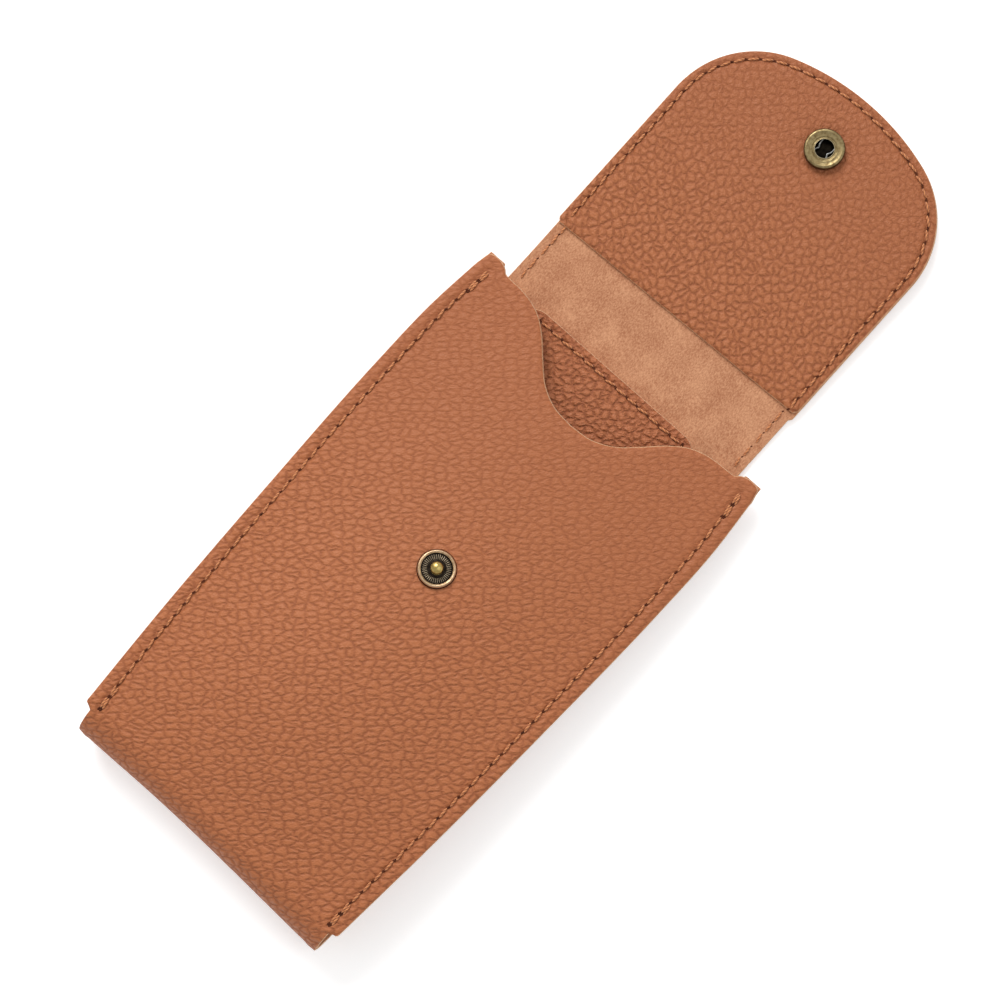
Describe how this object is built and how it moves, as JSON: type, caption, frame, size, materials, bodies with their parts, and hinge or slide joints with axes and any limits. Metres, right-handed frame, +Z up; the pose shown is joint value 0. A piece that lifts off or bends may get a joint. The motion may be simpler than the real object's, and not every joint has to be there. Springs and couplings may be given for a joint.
{
  "type": "watch travel case",
  "caption": "Gusseted leather travel pouch for a wristwatch, with a fold-over snap flap and a slide-in stitched card.",
  "frame": {"origin": "centre of the pouch body's back face, which lies on the table", "axes": "+X across the pouch, +Y from the bottom fold towards the mouth and the open flap, +Z up out of the front"},
  "size_m": [0.0948, 0.2494, 0.02],
  "materials": {
    "shell_leather": "satin",
    "gusset_leather": "matte",
    "lining_leather": "satin",
    "thread": "matte",
    "snap_brass": "satin",
    "snap_dark_brass": "satin",
    "spring_steel": "satin",
    "card_board": "matte"
  },
  "bodies": {
    "case": {"outer_shell": "shell_leather", "left_gusset": "gusset_leather", "right_gusset": "gusset_leather", "front_seam_left": "thread", "front_seam_right": "thread", "back_seam_left": "thread", "back_seam_right": "thread", "stud_collar": "snap_brass", "stud_disc": "snap_dark_brass", "stud_ball": "snap_brass", "stud_washer": "snap_dark_brass"},
    "bridge": {"fold_strip": "shell_leather", "strip_stitches": "thread"},
    "flap": {"flap_skin": "shell_leather", "flap_lining": "lining_leather", "flap_seam": "thread", "snap_cap": "snap_brass", "snap_socket": "snap_dark_brass", "socket_springs": "spring_steel"},
    "insert": {"insert_face": "lining_leather", "insert_board": "card_board", "insert_back": "lining_leather", "insert_seam": "thread"}
  },
  "joints": [
    {"name": "flap_fold_back", "type": "hinge", "parent": "case", "child": "bridge", "pos_m": [0, 0.0795, 0.00065], "axis": [1, 0, 0], "range_deg": [0, 90]},
    {"name": "flap_fold_front", "type": "hinge", "parent": "bridge", "child": "flap", "pos_m": [0, 0.0879, 0.00065], "axis": [1, 0, 0], "range_deg": [0, 77.93]},
    {"name": "insert_slide", "type": "slide", "parent": "case", "child": "insert", "axis": [0, 1, 0], "range_m": [-0.02, 0]}
  ]
}
